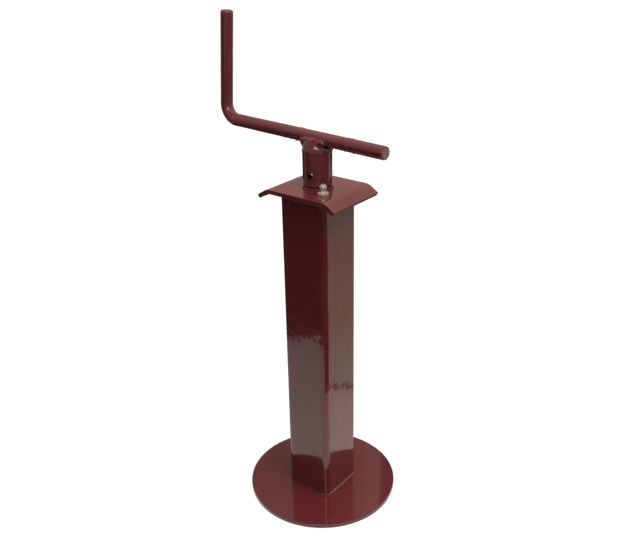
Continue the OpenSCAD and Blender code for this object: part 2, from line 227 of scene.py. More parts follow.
@dataclass(frozen=True)
class Enamel:
    """Glossy brushed-on enamel, with flow marks, orange peel and dust nibs."""

    name: str
    colour: Colour
    flow_across: float
    flow_along: float
    flow_depth: float
    calm_height: float = 0.0
    calm_share: float = 0.3
    peel_grain: float = 1.7 * MM
    peel_depth: float = 0.0016 * MM
    nib_grain: float = 9.0 * MM
    nib_depth: float = 0.10 * MM
    nib_reach: float = 0.045
    nib_rarity: float = 0.72
    nib_colour: Colour = seen(150, 96, 92)
    nib_tint: float = 0.35
    cloud_grain: float = 42 * MM
    cloud_tones: tuple[float, float] = (0.93, 1.07)
    shine_grain: float = 6 * MM
    smooth: float = 0.10
    rough: float = 0.20
    span: tuple[float, float] = (0.3, 0.7)
    slot: Slot = Slot.PAINT

    def material(self) -> bpy.types.Material:
        """Builds the enamel's material.

        Returns:
            The material.
        """
        s = Shading(self.name)
        plain = s.place()
        stretch = (1.0, 1.0, self.flow_across / self.flow_along)
        flow = s.noise(s.place(stretch), self.flow_across)
        if self.calm_height:
            height = s.add("ShaderNodeSeparateXYZ", {0: plain}).outputs[2]
            flow = s.calc("MULTIPLY", flow, s.ranged(
                height, self.calm_height / 2, self.calm_height, self.calm_share, 1.0))
        cell = s.add("ShaderNodeTexVoronoi", {
            "Vector": plain, "Scale": 1 / self.nib_grain, "Randomness": 1.0}).outputs
        near = s.ranged(cell["Distance"], 0.0, self.nib_reach, 1.0, 0.0)
        draw = s.out("ShaderNodeSeparateColor", {0: cell["Color"]})
        nib = s.calc("MULTIPLY", near, s.calc("GREATER_THAN", draw, self.nib_rarity))
        normal = s.bump(flow, self.flow_depth)
        normal = s.bump(s.noise(plain, self.peel_grain), self.peel_depth, normal)
        normal = s.bump(nib, self.nib_depth, normal)
        cloud = s.ranged(s.noise(plain, self.cloud_grain, CLOUD_DETAIL), *self.span, 0.0, 1.0)
        body = s.blend(cloud, *(tinted(self.colour, tone) for tone in self.cloud_tones))
        body = s.blend(s.calc("MULTIPLY", nib, self.nib_tint), body, self.nib_colour)
        rough = s.ranged(s.noise(plain, self.shine_grain, CLOUD_DETAIL), *self.span,
                         self.smooth, self.rough)
        return s.principled(base_color=body, roughness=rough, normal=normal,
                            coat_normal=normal, coat_weight=1.0, coat_roughness=0.03,
                            coat_ior=1.5)


@dataclass(frozen=True)
class Metal:
    """Bare or plated metal with tool marks, cloudy polish and thin grease."""

    name: str
    slot: Slot
    colour: Colour
    shade: Colour
    smooth: float
    rough: float
    cloud_grain: float = 7 * MM
    metallic: float = 1.0
    mark_stretch: Triple = (1.0, 1.0, 9.0)
    mark_grain: float = 1.5 * MM
    mark_depth: float = 0.004 * MM
    mark_roughness: float = 0.6
    span: tuple[float, float] = (0.35, 0.65)

    def material(self) -> bpy.types.Material:
        """Builds the metal's material.

        Returns:
            The material.
        """
        s = Shading(self.name)
        marks = s.noise(s.place(self.mark_stretch), self.mark_grain, CLOUD_DETAIL,
                        self.mark_roughness)
        cloud = s.noise(s.place(), self.cloud_grain, CLOUD_DETAIL)
        body = s.blend(s.ranged(cloud, *self.span, 0.0, 1.0), self.colour, self.shade)
        mean = s.calc("MULTIPLY", s.calc("ADD", cloud, marks), 0.5)
        rough = s.ranged(mean, *self.span, self.smooth, self.rough)
        return s.principled(base_color=body, metallic=self.metallic, roughness=rough,
                            normal=s.bump(marks, self.mark_depth))


MAROON = seen(97, 34, 39)
TUBE_PAINT = Enamel("enamel_tube", MAROON, 6.5 * MM, 14 * MM, 0.33 * MM, calm_height=0.09)
# A lighter copy of the maroon: painted light over the whole top plate.
LIT_PLATE_PAINT = Enamel("enamel_plate_painted_light", seen(104, 37, 42), 16 * MM, 16 * MM, 0.020 * MM)
# A darker copy of the maroon: painted shade over the whole foot plate.
SHADED_FOOT_PAINT = Enamel("enamel_foot_painted_shade", seen(90, 31, 35), 16 * MM, 16 * MM, 0.020 * MM)
# A lighter copy of the maroon: painted light over the bar, the hub and the hub's washer.
LIT_BAR_PAINT = Enamel("enamel_bar_painted_light", seen(107, 39, 44), 7 * MM, 7 * MM, 0.07 * MM)
WELD_PAINT = Enamel("enamel_weld", MAROON, 3.4 * MM, 3.4 * MM, 0.06 * MM, nib_depth=0.2 * MM)
# Paler than the maroon: a painted highlight along the foot's weld bead.
HIGHLIT_BEAD_PAINT = Enamel("enamel_bead_painted_highlight", seen(112, 62, 62), 2.6 * MM, 2.6 * MM, 0.12 * MM)
ZINC = Metal("bright_zinc", Slot.ZINC, seen(214, 211, 196), seen(190, 186, 168), 0.16, 0.30,
             metallic=0.6)
GREASED = Metal("greased_steel", Slot.BARE, seen(160, 153, 142), seen(136, 127, 112), 0.24,
                0.40, cloud_grain=35 * MM)
PIN_STEEL = Metal("pin_steel", Slot.BARE, seen(200, 196, 188), seen(150, 146, 140), 0.14, 0.26)
GROUND = Metal("ground_steel", Slot.HARD, seen(205, 206, 208), seen(184, 186, 190), 0.08, 0.20)
BRASS = Metal("machined_brass", Slot.BRASS, seen(206, 172, 104), seen(176, 140, 78), 0.20,
              0.38)

Finish = Enamel | Metal
made_finishes: dict[str, bpy.types.Material] = {}


def material_of(finish: Finish) -> bpy.types.Material:
    """Finds a finish's material, and builds it on its first use.

    Args:
        finish: The finish.

    Returns:
        The material.
    """
    if finish.name not in made_finishes:
        made_finishes[finish.name] = finish.material()
    return made_finishes[finish.name]


def lift(height: float) -> Vector:
    """Returns a step straight up."""
    return Vector((0, 0, height))


def rounded(corners: Sequence[tuple[float, float, float]], steps: int = 5) -> Outline:
    """Rounds the corners of a flat closed outline.

    Args:
        corners: Each corner's place and the radius it gets, in order.
        steps: Flats in each rounding.

    Returns:
        The outline's points.
    """
    points: Outline = []
    for i, (x, y, radius) in enumerate(corners):
        here = Vector((x, y))
        if radius <= 0:
            points.append((x, y))
            continue
        back = (Vector(corners[i - 1][:2]) - here).normalized()
        ahead = (Vector(corners[(i + 1) % len(corners)][:2]) - here).normalized()
        half = back.angle(ahead) / 2
        centre = here + (back + ahead).normalized() * (radius / sin(half))
        start = here + back * (radius / tan(half)) - centre
        stop = here + ahead * (radius / tan(half)) - centre
        first = atan2(start.y, start.x)
        turn = (atan2(stop.y, stop.x) - first + pi) % (2 * pi) - pi
        for step in range(steps + 1):
            angle = first + turn * step / steps
            points.append((centre.x + radius * cos(angle), centre.y + radius * sin(angle)))
    return points


def square_ring(width: float, radius: float, z: float, steps: int = 10) -> list[Vector]:
    """Returns the points of a square with round corners.

    Args:
        width: The square's width.
        radius: Its corner radius.
        z: Its height.
        steps: Lengths that each side and each corner is cut into.

    Returns:
        The points, in order, with as many for any width.
    """
    reach = width / 2 - radius
    points = []
    for quarter in range(4):
        turn = Matrix.Rotation(quarter * pi / 2, 3, "Z")
        for i in range(steps):
            points.append(turn @ Vector((width / 2, reach * (2 * i / steps - 1), 0)))
        for i in range(steps):
            angle = pi / 2 * i / steps
            points.append(turn @ Vector((reach + radius * cos(angle),
                                         reach + radius * sin(angle), 0)))
    return [Vector((p.x, p.y, z)) for p in points]


def circle(radius: float, steps: int, centre: Vector, across: Vector = EAST,
           up: Vector = NORTH) -> list[Vector]:
    """Returns the points of a circle in the plane of two directions."""
    return [centre + across * (radius * cos(a)) + up * (radius * sin(a))
            for a in (2 * pi * i / steps for i in range(steps))]


def outward(mesh: Mesh) -> Mesh:
    """Merges a mesh's doubles and turns its faces outwards.

    Args:
        mesh: The mesh, which is changed.

    Returns:
        The same mesh.
    """
    work = bmesh.new()
    work.from_mesh(mesh)
    bmesh.ops.remove_doubles(work, verts=work.verts, dist=MERGE)
    bmesh.ops.recalc_face_normals(work, faces=work.faces)
    work.to_mesh(mesh)
    work.free()
    return mesh


def joined(*meshes: Mesh) -> Mesh:
    """Puts several meshes into one.

    Args:
        *meshes: The meshes.

    Returns:
        One mesh with all their faces.
    """
    work = bmesh.new()
    for mesh in meshes:
        work.from_mesh(mesh)
    result = bpy.data.meshes.new("joined")
    work.to_mesh(result)
    work.free()
    return result


class Skin:
    """Joins rings of points into a closed surface."""

    def __init__(self) -> None:
        """Starts with no points and no faces."""
        self.points: list[Vector] = []
        self.faces: list[tuple[int, ...]] = []

    def ring(self, points: Iterable[Vector]) -> range:
        """Adds a ring, or a tip of one point.

        Args:
            points: The ring's points.

        Returns:
            The points' indices.
        """
        start = len(self.points)
        self.points.extend(points)
        return range(start, len(self.points))

    def band(self, low: range, high: range) -> None:
        """Joins two rings, one of which may be a tip.

        Args:
            low: One ring's indices.
            high: The other's indices.
        """
        count = max(len(low), len(high))
        for i in range(count):
            j = (i + 1) % count
            if len(low) == 1:
                self.faces.append((low[0], high[j], high[i]))
            elif len(high) == 1:
                self.faces.append((low[i], low[j], high[0]))
            else:
                self.faces.append((low[i], low[j], high[j], high[i]))

    def stack(self, rings: Sequence[Iterable[Vector]], closed: bool = False) -> "Skin":
        """Joins rings one after the other.

        Args:
            rings: The rings and tips, in order.
            closed: Whether the last ring joins the first.

        Returns:
            The skin itself.
        """
        made = [self.ring(points) for points in rings]
        for low, high in zip(made, made[1:] + (made[:1] if closed else [])):
            self.band(low, high)
        return self

    def moved(self, change: Callable[[Vector], Vector]) -> "Skin":
        """Moves every point by a function and returns the skin."""
        self.points = [change(point) for point in self.points]
        return self

    def mesh(self, name: str) -> Mesh:
        """Turns the skin into a mesh whose faces point outwards.

        Args:
            name: The mesh's name.

        Returns:
            The mesh.
        """
        mesh = bpy.data.meshes.new(name)
        mesh.from_pydata(self.points, [], self.faces)
        mesh.validate()
        return outward(mesh)


def lathe(profile: Outline, steps: int = 96, closed: bool = False) -> Skin:
    """Turns a profile round the Z axis.

    Args:
        profile: Radius and height of each point. A radius of 0 makes a tip.
        steps: Points round each ring.
        closed: Whether the last point joins the first, as on a washer.

    Returns:
        The turned skin.
    """
    return Skin().stack([[lift(z)] if radius < TINY else circle(radius, steps, lift(z))
                         for radius, z in profile], closed)


def rod(radius: float, start: Vector, end: Vector, steps: int = 48) -> Mesh:
    """Makes a plain round rod, as a cutter.

    Args:
        radius: The rod's radius.
        start: The centre of one end.
        end: The centre of the other end.
        steps: Flats round the rod.

    Returns:
        The rod's mesh.
    """
    along = (end - start).normalized()
    across = along.orthogonal().normalized()
    rings = [circle(radius, steps, centre, across, along.cross(across))
             for centre in (start, end)]
    return Skin().stack([[start], *rings, [end]]).mesh("rod")


def link(thing: bpy.types.Object) -> bpy.types.Object:
    """Links an object into the scene and returns it."""
    bpy.context.scene.collection.objects.link(thing)
    return thing


def taken(maker: bpy.types.Object) -> Mesh:
    """Takes what an object's modifiers make of it, and removes the object.

    Args:
        maker: The object, which is in the scene.

    Returns:
        The result as a plain mesh.
    """
    graph = bpy.context.evaluated_depsgraph_get()
    made = bpy.data.meshes.new_from_object(maker.evaluated_get(graph))
    maker.modifiers.clear()
    bpy.data.objects.remove(maker)
    return made


def worked(mesh: Mesh, *steps: tuple[str, dict[str, object]]) -> Mesh:
    """Runs modifiers over a mesh.

    Args:
        mesh: The mesh to start from.
        *steps: Each modifier's kind and its settings.

    Returns:
        The result as a plain mesh.
    """
    maker = link(bpy.data.objects.new("maker", mesh))
    for kind, settings in steps:
        modifier = maker.modifiers.new(kind.lower(), kind)
        for name, value in settings.items():
            setattr(modifier, name, value)
    return taken(maker)


def cut(mesh: Mesh, *tools: Mesh, operation: str = "DIFFERENCE") -> Mesh:
    """Cuts closed meshes out of a mesh, or does another boolean operation with them.

    Args:
        mesh: The mesh to work on.
        *tools: The closed meshes that cut it.
        operation: The boolean operation's name.

    Returns:
        The result.
    """
    for tool in tools:
        cutter = link(bpy.data.objects.new("cutter", tool))
        mesh = worked(mesh, ("BOOLEAN", {"object": cutter, "operation": operation,
                                         "solver": "EXACT"}))
        bpy.data.objects.remove(cutter)
    return mesh


def softened(mesh: Mesh, width: float, segments: int, angle: float) -> Mesh:
    """Rounds off the edges of a mesh that turn by more than an angle in degrees."""
    return worked(mesh, ("BEVEL", {"width": width, "segments": segments,
                                   "limit_method": "ANGLE", "angle_limit": radians(angle)}))


class Recipe(Graph):
    """A Geometry Nodes tree with named inputs, which makes one plain mesh."""

    def __init__(self, name: str) -> None:
        """Makes the tree with its geometry input, geometry output and finish."""
        super().__init__(bpy.data.node_groups.new(name, "GeometryNodeTree"))
        self.identifiers: dict[str, str] = {}
        for way in ("INPUT", "OUTPUT"):
            self.tree.interface.new_socket("Geometry", in_out=way,
                                           socket_type="NodeSocketGeometry")
        self.enter = self.add("NodeGroupInput")
        self.leave = self.add("NodeGroupOutput")
        self.input("Finish", "NodeSocketMaterial")

    def input(self, name: str, kind: str = "NodeSocketFloat") -> Socket:
        """Adds a named input.

        Args:
            name: The input's name, which is one word.
            kind: The type of its socket.

        Returns:
            The socket that carries it.
        """
        item = self.tree.interface.new_socket(name, in_out="INPUT", socket_type=kind)
        self.identifiers[name] = item.identifier
        return self.enter.outputs[name]

    def captured(self, geometry: Socket, name: str, value: Socket) -> tuple[Socket, Socket]:
        """Keeps a value on a geometry.

        Args:
            geometry: The geometry.
            name: The value's name.
            value: What is kept.

        Returns:
            The geometry and the kept value.
        """
        node = self.add("GeometryNodeCaptureAttribute", {"Geometry": geometry})
        node.capture_items.new("FLOAT", name)
        self.feed(node.inputs[1], value)
        return node.outputs[0], node.outputs[1]

    def end(self, geometry: Socket) -> None:
        """Ends the tree in real geometry that carries the finish, shaded smooth.

        Args:
            geometry: The tree's result, which may hold instances.
        """
        smooth = self.out("GeometryNodeSetShadeSmooth", {"Geometry": geometry})
        real = self.out("GeometryNodeRealizeInstances", {"Geometry": smooth})
        self.feed(self.leave.inputs[0], self.out("GeometryNodeSetMaterial", {
            "Geometry": real, "Material": self.enter.outputs["Finish"]}))

    def make(self, finish: Finish, base: Mesh | None = None, **values: object) -> Mesh:
        """Runs the tree once.

        Args:
            finish: The finish that the result gets.
            base: The mesh that the tree starts from, if it needs one.
            **values: Each input's value, by its name in lower case.

        Returns:
            The result as a plain mesh.
        """
        maker = link(bpy.data.objects.new("maker", base or bpy.data.meshes.new("seed")))
        modifier = maker.modifiers.new(self.tree.name, "NODES")
        modifier.node_group = self.tree
        modifier[self.identifiers["Finish"]] = material_of(finish)
        for name, value in values.items():
            modifier[self.identifiers[name.capitalize()]] = value
        return taken(maker)


STEPS_A_RIPPLE = 7.0
RIPPLE_CRESCENT = 0.45
RIPPLE_LEVEL = 0.6


def bead_recipe() -> Recipe:
    """Builds the tree of a weld bead that runs round a square tube.

    The bead follows a square with round corners at the given height. Its section is an
    oval, its ripples are crescents one pitch apart, and a noise makes its edge uneven.

    Returns:
        The recipe.
    """
    r = Recipe("weld_bead")
    width, corner, height, out, up, pitch, ripple, uneven, grain = map(r.input, (
        "Width", "Corner", "Height", "Out", "Up", "Pitch", "Ripple", "Uneven", "Grain"))
    square = r.out("GeometryNodeCurvePrimitiveQuadrilateral", {0: width, 1: width})
    round_square = r.out("GeometryNodeFilletCurve", {
        "Curve": square, "Radius": corner, "Count": 10}, mode="POLY")
    path = r.out("GeometryNodeResampleCurve", {
        "Curve": round_square, "Length": r.calc("DIVIDE", pitch, STEPS_A_RIPPLE)},
        mode="LENGTH")
    level = r.out("GeometryNodeSetCurveNormal", {"Curve": path}, mode="Z_UP")
    parameter = r.add("GeometryNodeSplineParameter").outputs
    line, along = r.captured(level, "along", parameter["Length"])
    ring, turn = r.captured(r.out("GeometryNodeCurvePrimitiveCircle", {
        "Resolution": 20, "Radius": 1.0}), "turn", parameter["Factor"])
    oval = r.out("GeometryNodeTransform", {
        "Geometry": ring, "Scale": r.out("ShaderNodeCombineXYZ", {0: out, 1: up, 2: 1.0})})
    bead = r.out("GeometryNodeCurveToMesh", {"Curve": line, "Profile Curve": oval})
    swing = r.calc("COSINE", r.calc("MULTIPLY", turn, 2 * pi))
    count = r.calc("ADD", r.calc("DIVIDE", along, pitch),
                   r.calc("MULTIPLY", swing, RIPPLE_CRESCENT))
    wave = r.calc("ABSOLUTE", r.calc("SINE", r.calc("MULTIPLY", count, pi)))
    raised = r.calc("MULTIPLY", r.calc("SUBTRACT", wave, RIPPLE_LEVEL), ripple)
    rough = r.out("ShaderNodeTexNoise", {
        "Vector": r.out("GeometryNodeInputPosition"), "Scale": r.calc("DIVIDE", 1.0, grain),
        "Detail": 1.5})
    lumpy = r.calc("MULTIPLY", r.calc("SUBTRACT", rough, 0.5), uneven)
    offset = r.out("ShaderNodeVectorMath", {
        0: r.out("GeometryNodeInputNormal"), 3: r.calc("ADD", raised, lumpy)},
        operation="SCALE")
    shaped = r.out("GeometryNodeSetPosition", {"Geometry": bead, "Offset": offset})
    r.end(r.out("GeometryNodeTransform", {
        "Geometry": shaped, "Translation": r.out("ShaderNodeCombineXYZ", {2: height})}))
    return r


DROP_FORM = (1.0, 1.0, 0.55)


def spatter_recipe() -> Recipe:
    """Builds the tree that strews drops of weld spatter over a mesh near a point.

    Returns:
        The recipe.
    """
    r = Recipe("weld_spatter")
    centre = r.input("Centre", "NodeSocketVector")
    clear, reach, density, least, most = map(r.input, (
        "Clear", "Reach", "Density", "Least", "Most"))
    seed = r.input("Seed", "NodeSocketInt")
    away = r.add("ShaderNodeVectorMath", {0: r.out("GeometryNodeInputPosition"), 1: centre},
                 operation="DISTANCE").outputs["Value"]
    outside = r.out("FunctionNodeCompare", {0: away, 1: clear}, operation="GREATER_THAN")
    fade = r.ranged(away, clear, reach, 1.0, 0.0, smooth=False)
    points = r.add("GeometryNodeDistributePointsOnFaces", {
        "Mesh": r.enter.outputs["Geometry"], "Selection": outside,
        "Density": r.calc("MULTIPLY", density, r.calc("POWER", fade, 2.0)),
        "Seed": seed}).outputs
    drop = r.out("GeometryNodeMeshIcoSphere", {"Radius": 1.0, "Subdivisions": 2})
    size = r.add("FunctionNodeRandomValue", {2: least, 3: most, "Seed": seed}).outputs[1]
    r.end(r.out("GeometryNodeInstanceOnPoints", {
        "Points": points[0], "Instance": drop, "Rotation": points["Rotation"],
        "Scale": r.out("ShaderNodeVectorMath", {0: DROP_FORM, 3: size},
                       operation="SCALE")}))
    return r


@dataclass(frozen=True)
class Bead:
    """The sizes of a weld bead round a square tube."""

    set_out: float
    out: float
    up: float
    pitch: float
    ripple: float
    uneven: float
    grain: float = 7 * MM

    def laid(self, node: str, corner: float, height: float, finish: Finish) -> Mesh:
        """Lays the bead round a tube.

        Args:
            node: The tube's CAD node.
            corner: The tube's corner radius.
            height: Where the bead runs.
            finish: The bead's finish.

        Returns:
            The bead's mesh.
        """
        low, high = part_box(node)
        return bead_recipe().make(
            finish, width=high.x - low.x + 2 * self.set_out, corner=corner + self.set_out,
            height=height, out=self.out, up=self.up, pitch=self.pitch, ripple=self.ripple,
            uneven=self.uneven, grain=self.grain)


@dataclass(frozen=True)
class Spatter:
    """The sizes and the density of weld spatter round a point."""

    clear: float
    reach: float
    density: float
    least: float
    most: float
    seed: int

    def strewn(self, base: Mesh, centre: Vector, finish: Finish) -> Mesh:
        """Strews the drops over a mesh.

        Args:
            base: The mesh that the drops lie on.
            centre: The point that they flew from.
            finish: The drops' finish.

        Returns:
            The drops' mesh.
        """
        return spatter_recipe().make(
            finish, base, centre=tuple(centre), clear=self.clear, reach=self.reach,
            density=self.density, least=self.least, most=self.most, seed=self.seed)


@dataclass
class SubAssembly:
    """Pieces that ride on one body of the frame."""

    body: Body

    def put(self, name: str, mesh: Mesh, finish: Finish, *nodes: str,
            sharp: float = 40.0) -> None:
        """Puts a finished piece on the body.

        Args:
            name: The piece's name.
            mesh: Its mesh, in the frame's own place.
            finish: Its finish.
            *nodes: The CAD nodes that it stands for.
            sharp: Angle between faces, in degrees, from which an edge stays sharp.
        """
        mesh.name = name
        mesh.materials.clear()
        mesh.materials.append(material_of(finish))
        mesh.shade_smooth()
        mesh.set_sharp_from_angle(angle=radians(sharp))
        piece = link(bpy.data.objects.new(name, mesh))
        even = piece.modifiers.new("even_shading", "WEIGHTED_NORMAL")
        even.keep_sharp, even.weight = True, EVEN_WEIGHT
        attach(piece, self.body.value)
        if nodes:
            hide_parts(*nodes)
        LOG.info("%s: %d faces on %s", name, len(mesh.polygons), self.body.value)

    def dress(self, finish: Finish, *nodes: str) -> None:
        """Gives CAD nodes that stay a finish.

        Args:
            finish: The finish.
            *nodes: The nodes' names.
        """
        for name in nodes:
            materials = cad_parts[name].data.materials
            materials.clear()
            materials.append(material_of(finish))
            LOG.info("%s: kept, finished in %s", name, finish.name)


@dataclass
class Mast(SubAssembly):
    """The outer tube with its top plate, the bead between them and the hub's washer."""

    body: Body = Body.OUTER
    wall: float = 2.67 * MM
    corner: float = 6.0 * MM
    least_corner: float = 1.5 * MM
    saw_edge: float = 0.35 * MM
    saw_round: float = 0.3
    rows: int = 64
    plate_flat: float = 58.0 * MM
    plate_thick: float = 4.0 * MM
    lip_angle: float = radians(31.5)
    lip_length: float = 9.0 * MM
    bend: float = 9.5 * MM
    bend_steps: int = 16
    sheared_edge: float = 0.3 * MM
    shank_hole: float = 9.625 * MM
    fitting_hole: float = 3.205 * MM
    fitting_x: float = 19.0 * MM
    fitting_y: float = -16.5 * MM
    cap_bead: Bead = Bead(0.5 * MM, 3.0 * MM, 3.0 * MM, 3.2 * MM, 0.45 * MM, 1.6 * MM)
    washer_edge: float = 0.35 * MM
    washer_play: float = 0.15 * MM

    def build(self) -> None:
        """Builds and finishes every piece of the mast."""
        self.put("mast_tube", self.tube(), TUBE_PAINT, "outer_tube")
        self.put("mast_plate", self.plate(), LIT_PLATE_PAINT, "top_plate")
        self.put("mast_bead", self.bead(), WELD_PAINT, "cap_weld")
        self.put("hub_washer", self.washer(), LIT_BAR_PAINT, "thrust_washer")
        self.dress(GROUND, "bearing_upper_race")

    def bead(self) -> Mesh:
        """Returns the rippled bead under the plate."""
        return self.cap_bead.laid("outer_tube", self.corner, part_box("outer_tube")[1].z,
                                  WELD_PAINT)

    def tube(self) -> Mesh:
        """Builds the square tube, open at both ends.

        Returns:
            The tube's mesh.
        """
        low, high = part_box("outer_tube")
        edge, start = self.saw_edge, low.z + self.saw_edge
        walk = [(edge, low.z), (edge * self.saw_round, low.z + edge * self.saw_round)]
        walk += [(0.0, start + (high.z - start) * i / self.rows) for i in range(self.rows + 1)]
        walk += [(self.wall, high.z), (self.wall, start), (self.wall - edge, low.z)]
        rings = [square_ring(high.x - low.x - 2 * inset,
                             max(self.corner - inset, self.least_corner), z)
                 for inset, z in walk]
        return Skin().stack(rings, closed=True).mesh("tube")

    def plate_section(self) -> Outline:
        """Draws the plate's section, seen from the front.

        Returns:
            The closed outline, with the plate's top at height 0.
        """
        half, top = self.plate_flat / 2, self.bend + self.plate_thick
        reach = Vector((cos(self.lip_angle), -sin(self.lip_angle))) * self.lip_length

        def arc(radius: float) -> list[Vector]:
            """Returns a bend's points at that radius, from flat to lip."""
            turns = [self.lip_angle * i / self.bend_steps for i in range(self.bend_steps + 1)]
            return [Vector((half + radius * sin(a), radius * cos(a) - top)) for a in turns]
        outer, inner = arc(top), arc(self.bend)
        right = outer + [outer[-1] + reach, inner[-1] + reach] + inner[::-1]
        left = [Vector((-p.x, p.y)) for p in reversed(right)]
        return [(p.x, p.y) for p in right + left]

    def plate(self) -> Mesh:
        """Builds the bent plate with its two holes and softened edges.

        Returns:
            The plate's mesh.
        """
        low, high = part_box("top_plate")
        skin = Skin()
        front, back = (skin.ring(Vector((x, y, high.z + z)) for x, z in self.plate_section())
                       for y in (low.y, high.y))
        skin.band(front, back)
        skin.faces += [tuple(front), tuple(reversed(back))]
        past, centre = lift(self.plate_thick), lift(high.z)
        port = Vector((self.fitting_x, self.fitting_y, high.z))
        holed = cut(skin.mesh("plate"),
                    rod(self.shank_hole, centre - 2 * past, centre + past, steps=96),
                    rod(self.fitting_hole, port - 2 * past, port + past))
        return softened(holed, self.sheared_edge, segments=3, angle=35)

    def washer(self) -> Mesh:
        """Builds the flat ring between hub and plate.

        Returns:
            The ring's mesh.
        """
        low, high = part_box("thrust_washer")
        bore, soft = self.shank_hole + self.washer_play, self.washer_edge
        return lathe(rounded([(bore, low.z, 0), (high.x, low.z, soft), (high.x, high.z, soft),
                              (bore, high.z, soft)]), closed=True).mesh("washer")


@dataclass
class GreasePort(SubAssembly):
    """The grease fitting in the plate's corner."""

    body: Body = Body.OUTER
    across_flats: float = 9.5 * MM
    hex_high: float = 3.0 * MM
    hex_chamfer: float = 1.0 * MM
    chamfer_low: float = 0.6
    chamfer_high: float = 0.8
    chamfer_in: float = 1.3
    hex_edge: float = 0.12 * MM
    neck: float = 2.4 * MM
    flare: float = 0.9 * MM
    flare_steps: int = 5
    head: float = 3.3 * MM
    head_up: float = 7.2 * MM
    head_steps: int = 20
    thread: float = 3.175 * MM
    thread_chamfer: float = 0.4 * MM
    mouth: float = 0.8 * MM
    mouth_chamfer: float = 0.25 * MM
    mouth_deep: float = 0.6 * MM
    way: float = 1.35 * MM
    shoulder: float = 0.77 * MM
    push: float = 1.0 * MM

    def build(self) -> None:
        """Builds the fitting's shell and finishes its ball and spring."""
        self.put("port_fitting", self.shell(), ZINC, "grease_fitting_body")
        self.dress(GROUND, "grease_fitting_ball", "grease_fitting_spring")
        self.squeeze_spring()

    def squeeze_spring(self) -> None:
        """Gives the check spring a mesh of its own."""
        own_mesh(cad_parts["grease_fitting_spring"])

    def shell(self) -> Mesh:
        """Builds the hexagon and the bored stem with its ball head.

        Returns:
            The fitting's mesh.
        """
        low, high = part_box("grease_fitting_body")
        centre, foot = (low + high) / 2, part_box("top_plate")[1].z
        corner, chamfer, top = self.across_flats / 2 / cos(pi / 6), self.hex_chamfer, self.hex_high
        flats = lathe([(0, 0), (corner, 0), (corner, top), (0, top)], 6).mesh("flats")
        drum = lathe([(0, 0), (corner - chamfer, 0), (corner, chamfer * self.chamfer_low),
                      (corner, top - chamfer * self.chamfer_high),
                      (corner - chamfer * self.chamfer_in, top), (0, top)]).mesh("drum")
        nut = softened(cut(flats, drum, operation="INTERSECT"), self.hex_edge,
                       segments=2, angle=25)
        nut = cut(nut, rod((self.way + self.neck) / 2, lift(-top), lift(2 * top)))
        stem = lathe(self.stem_profile(high.z - foot, low.z - foot), steps=64,
                     closed=True)
        mesh = joined(nut, stem.mesh("stem"))
        mesh.transform(Matrix.Translation((centre.x, centre.y, foot)))
        return mesh

    def stem_profile(self, top: float, bottom: float) -> Outline:
        """Draws the stem's section, up the outside and down through mouth and grease way.

        Args:
            top: Height of the head's top over the plate.
            bottom: Height of the thread's end, which is below 0.

        Returns:
            The closed outline.
        """
        sunk = self.thread_chamfer
        fall = asin(self.neck / self.head)
        rise = acos((top - self.head_up) / self.head)
        head = [(self.head * sin(a), self.head_up + self.head * cos(a))
                for a in (pi - fall + (rise - pi + fall) * i / self.head_steps
                          for i in range(self.head_steps + 1))]
        flare = [(self.neck + self.flare * (1 - sin(a)), self.hex_high + self.flare * (1 - cos(a)))
                 for a in (pi / 2 * i / self.flare_steps for i in range(self.flare_steps + 1))]
        seat, shoulder, rim = top - self.mouth_deep, bottom + self.shoulder, self.mouth_chamfer
        return [(self.mouth, bottom), (self.thread - sunk, bottom), (self.thread, bottom + sunk),
                (self.thread, self.hex_high - sunk), *flare, *head,
                (self.mouth + rim, top), (self.mouth, top - rim), (self.mouth, seat),
                (self.way, seat), (self.way, shoulder), (self.mouth, shoulder)]


